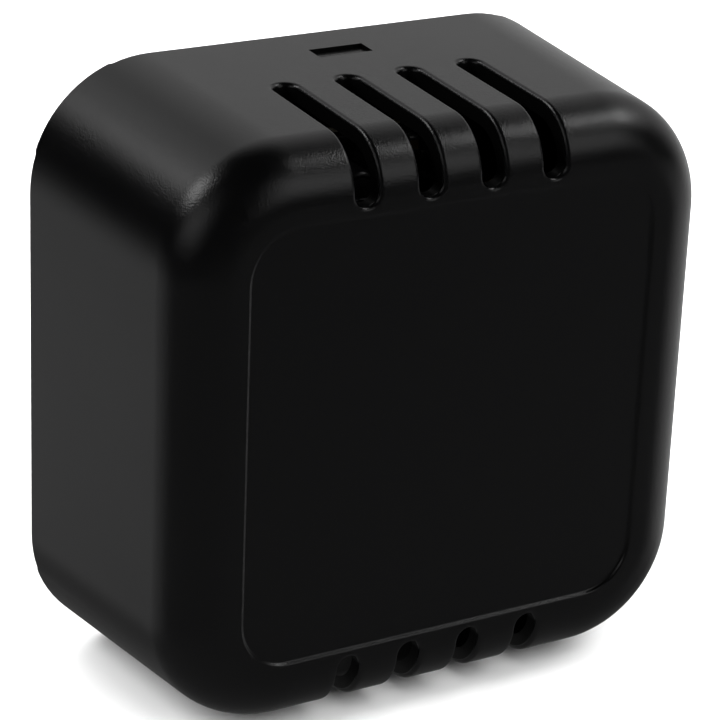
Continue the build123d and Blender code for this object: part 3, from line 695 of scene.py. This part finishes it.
def islands(name):
    """The vertices of each separate solid in a CAD part, from a merged copy of its mesh."""
    bm = bmesh.new()
    bm.from_mesh(nodes[name].data)
    bmesh.ops.remove_doubles(bm, verts=bm.verts, dist=0.000001)
    left = set(bm.verts)
    while left:
        edge_of_part = [left.pop()]
        part = []
        while edge_of_part:
            vert = edge_of_part.pop()
            part.append(vert.co.copy())
            for edge in vert.link_edges:
                other = edge.other_vert(vert)
                if other in left:
                    left.remove(other)
                    edge_of_part.append(other)
        yield part
    bm.free()


def extent(points, axis):
    """Lowest and highest value of some points along an axis."""
    values = [p[axis] for p in points]
    return min(values), max(values)


def solder_joints():
    """All the joints on the board's front as one mesh."""
    bm = bmesh.new()
    for name in (*lead_nodes, "service_pins", "sensor_pins"):
        for part in islands(name):
            through = extent(part, 1)[1] > BOARD_FRONT + 0.1 * MM
            foot = part if through else [p for p in part if p.y > BOARD_FRONT - 0.05 * MM]
            if not foot:
                continue
            (left, right), (low, high) = extent(foot, 0), extent(foot, 2)
            middle = Vector(((left + right) / 2, BOARD_FRONT, (low + high) / 2))
            if through:
                turn = Matrix.Rotation(pi / 2, 4, "X")
                lift = Vector((0, -SOLDER_RISE / 2, 0))
                bmesh.ops.create_cone(
                    bm,
                    cap_ends=True,
                    segments=20,
                    radius1=(right - left) / 2 + CONE_MARGIN,
                    radius2=(right - left) / 2 + CONE_TIP_MARGIN,
                    depth=SOLDER_RISE,
                    matrix=Matrix.Translation(middle + lift) @ turn,
                )
                continue
            pad = bmesh.ops.create_cube(bm, size=1)["verts"]
            wide = right - left + 2 * PAD_MARGIN
            tall = high - low + 2 * PAD_MARGIN
            bmesh.ops.scale(bm, verts=pad, vec=(wide, 2 * PAD_RISE, tall))
            bmesh.ops.translate(bm, verts=pad, vec=middle)
            edges = {e for v in pad for e in v.link_edges}
            raised = [e for e in edges if all(v.co.y < BOARD_FRONT for v in e.verts)]
            bevel(bm, raised, PAD_RISE * 0.7, 2)
    return bm


solder = to_object(solder_joints(), "solder_joints", tin)
set_smooth(solder.data, radians(35))
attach(solder, "base")


# ---------------------------------------------------------------- moulded components
# Chips and headers in dull black epoxy or nylon, the terminal block and its lever buttons, the
# switch bank, the setup button and the trimmer, each with its own fine mould texture.
epoxy = moulded_plastic("black_moulding", (0.012, 0.012, 0.012), 0.55, 9000, 0.000012)
nylon = moulded_plastic("terminal_plastic", (0.020, 0.021, 0.023), 0.42, 5000, 0.000006)
orange = moulded_plastic("button_plastic", (0.80, 0.16, 0.01), 0.36, 5000, 0.000005)
white_gel = moulded_plastic("sensor_package", (0.72, 0.72, 0.69), 0.48, 9000, 0.000005)
red = moulded_plastic("dip_plastic", (0.36, 0.012, 0.010), 0.30, 5000, 0.000004)
white = moulded_plastic("lever_plastic", (0.78, 0.77, 0.72), 0.30, 5000, 0.000004)
blue = moulded_plastic("trimmer_plastic", (0.008, 0.050, 0.28), 0.28, 5000, 0.000004)
finish(
    epoxy,
    "controller",
    "voltage_regulator",
    "bridge_rectifier",
    "sensor_header",
    "service_header",
    "setup_button_plunger",
)
finish(nylon, "terminal_block")
finish(orange, *[f"terminal_button_{i}" for i in range(1, 5)])
finish(white_gel, "sensor_chip")
finish(red, "dip_switch")
finish(white, "trimmer_rotor", *[f"dip_lever_{i}" for i in range(1, 5)])
finish(blue, "trimmer_case")
soften(30, "setup_button_plunger", "trimmer_rotor")


# ---------------------------------------------------------------- dipped and sintered parts
# The varistor and the fuse are discs dipped in epoxy, which leaves a soft orange-peel skin. The
# inductor is ground ferrite and the status light is diffused resin.
def dipped(name, colour, roughness, lumps, depth):
    """A coating or ceramic with an uneven skin and clouded colour."""
    material = bpy.data.materials.new(name)
    material.use_nodes = True
    tree = material.node_tree
    new, link = tree.nodes.new, tree.links.new
    shader = tree.nodes["Principled BSDF"]
    place = new("ShaderNodeTexCoord")
    skin = new("ShaderNodeTexNoise")
    skin.inputs["Scale"].default_value = lumps
    skin.inputs["Detail"].default_value = 3
    shade = new("ShaderNodeMix")
    shade.data_type = "RGBA"
    shade.inputs["A"].default_value = (*[c * 0.8 for c in colour], 1)
    shade.inputs["B"].default_value = (*[min(1, c * 1.2) for c in colour], 1)
    bump = new("ShaderNodeBump")
    bump.inputs["Distance"].default_value = depth
    shader.inputs["Roughness"].default_value = roughness
    link(place.outputs["Object"], skin.inputs["Vector"])
    link(skin.outputs["Fac"], shade.inputs["Factor"])
    link(skin.outputs["Fac"], bump.inputs["Height"])
    link(shade.outputs["Result"], shader.inputs["Base Color"])
    link(bump.outputs["Normal"], shader.inputs["Normal"])
    return material


finish(dipped("varistor_coat", (0.03, 0.10, 0.30), 0.3, 700, 0.00006), "surge_varistor")
finish(dipped("fuse_coat", (0.62, 0.30, 0.02), 0.3, 700, 0.00006), "resettable_fuse")
finish(dipped("ferrite", (0.030, 0.030, 0.032), 0.6, 5000, 0.00002), "power_inductor")
resin = dipped("led_resin", (0.10, 0.55, 0.14), 0.25, 900, 0.00001)
resin.node_tree.nodes["Principled BSDF"].inputs["Transmission Weight"].default_value = 0.5
finish(resin, "status_light")
soften(40, "surge_varistor", "resettable_fuse", "status_light", "power_inductor")


# ---------------------------------------------------------------- electrolytic capacitors
# Drawn aluminium cans in a shrunk black sleeve with a grey polarity stripe. The sleeve leaves
# the middle of the top bare, where a pressed cross weakens the can.
SLEEVE_LAP = 0.75 * MM
SLEEVE_TOP = 0.5 * MM
CROSS_HALF_WIDTH = 0.14 * MM


def sleeved_can(name):
    """The sleeve, its stripe and the bare top, placed on one capacitor."""
    low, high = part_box(name)
    middle = (low + high) / 2
    radius = (high.x - low.x) / 2
    material = bpy.data.materials.new("can_metal_" + name)
    material.use_nodes = True
    tree = material.node_tree
    new, link = tree.nodes.new, tree.links.new
    shader = tree.nodes["Principled BSDF"]
    place = new("ShaderNodeTexCoord")
    shift = new("ShaderNodeMapping")
    shift.inputs["Location"].default_value = (-middle.x, -low.y, -middle.z)
    split = new("ShaderNodeSeparateXYZ")
    link(place.outputs["Object"], shift.inputs["Vector"])
    link(shift.outputs["Vector"], split.inputs[0])
    x, y, z = (split.outputs[axis] for axis in "XYZ")
    squares = join(tree, "ADD", join(tree, "MULTIPLY", x, x), join(tree, "MULTIPLY", z, z))
    inside = join(tree, "LESS_THAN", join(tree, "SQRT", squares), radius - SLEEVE_LAP)
    bare = join(tree, "MULTIPLY", inside, join(tree, "LESS_THAN", y, SLEEVE_TOP))
    stripe = join(tree, "LESS_THAN", join(tree, "ABSOLUTE", z), radius * 0.3)
    stripe = join(tree, "MULTIPLY", stripe, join(tree, "GREATER_THAN", x, radius * 0.5))
    stripe = join(tree, "MULTIPLY", stripe, join(tree, "GREATER_THAN", y, SLEEVE_TOP))
    groove = join(tree, "MINIMUM", join(tree, "ABSOLUTE", x), join(tree, "ABSOLUTE", z))
    groove = join(tree, "GREATER_THAN", groove, CROSS_HALF_WIDTH)
    sleeve = new("ShaderNodeMix")
    sleeve.data_type = "RGBA"
    sleeve.inputs["A"].default_value = (0.006, 0.006, 0.007, 1)
    sleeve.inputs["B"].default_value = (0.22, 0.22, 0.22, 1)
    colour = new("ShaderNodeMix")
    colour.data_type = "RGBA"
    colour.inputs["B"].default_value = (0.30, 0.30, 0.31, 1)
    rough = new("ShaderNodeTexNoise")
    rough.inputs["Scale"].default_value = 1500
    bump = new("ShaderNodeBump")
    bump.inputs["Distance"].default_value = 0.0001
    link(stripe, sleeve.inputs["Factor"])
    link(sleeve.outputs["Result"], colour.inputs["A"])
    link(bare, colour.inputs["Factor"])
    link(colour.outputs["Result"], shader.inputs["Base Color"])
    link(bare, shader.inputs["Metallic"])
    link(place.outputs["Object"], rough.inputs["Vector"])
    link(join(tree, "MULTIPLY_ADD", rough.outputs["Fac"], 0.2, 0.22), shader.inputs["Roughness"])
    link(join(tree, "MULTIPLY", groove, bare), bump.inputs["Height"])
    link(bump.outputs["Normal"], shader.inputs["Normal"])
    finish(material, name)
    soften(40, name)


sleeved_can("input_capacitor")
sleeved_can("output_capacitor")


# ---------------------------------------------------------------- chip resistors and capacitors
# Tiny ceramic blocks: black-glazed resistors and tan capacitors, each with a tinned cap baked
# on to both ends.
BODY_INSET = 0.04 * MM
BODY_ROUNDING = 0.05 * MM
CAP_ROUNDING = 0.07 * MM
CAP_SHARE = 0.24


def end_capped_chips(name, body):
    """Detailed blocks in the places of a CAD part's chips."""
    bm = bmesh.new()
    for part in islands(name):
        bounds = [extent(part, axis) for axis in range(3)]
        middle = Vector([(low + high) / 2 for low, high in bounds])
        size = Vector([high - low for low, high in bounds])
        along = 0 if size.x > size.z else 2
        chip = bmesh.ops.create_cube(bm, size=1)["verts"]
        bmesh.ops.scale(bm, verts=chip, vec=size - Vector((BODY_INSET,) * 3))
        bmesh.ops.translate(bm, verts=chip, vec=middle)
        bevel(bm, list({e for v in chip for e in v.link_edges}), BODY_ROUNDING, 2)
        for end in (-1, 1):
            cap = bmesh.ops.create_cube(bm, size=1)["verts"]
            stretch = size.copy()
            stretch[along] = size[along] * CAP_SHARE
            move = middle.copy()
            move[along] += end * (size[along] - stretch[along]) / 2
            bmesh.ops.scale(bm, verts=cap, vec=stretch)
            bmesh.ops.translate(bm, verts=cap, vec=move)
            before = set(bm.faces)
            for face in {f for v in cap for f in v.link_faces}:
                face.material_index = 1
            bevel(bm, list({e for v in cap for e in v.link_edges}), CAP_ROUNDING, 2)
            for face in set(bm.faces) - before:
                face.material_index = 1
    piece = to_object(bm, name + "_detailed", body, tin)
    set_smooth(piece.data, radians(40))
    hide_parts(name)
    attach(piece, "base")


end_capped_chips("chip_resistors", epoxy)
tan_ceramic = dipped("chip_ceramic", (0.13, 0.08, 0.04), 0.45, 3000, 0.00001)
end_capped_chips("chip_capacitors", tan_ceramic)
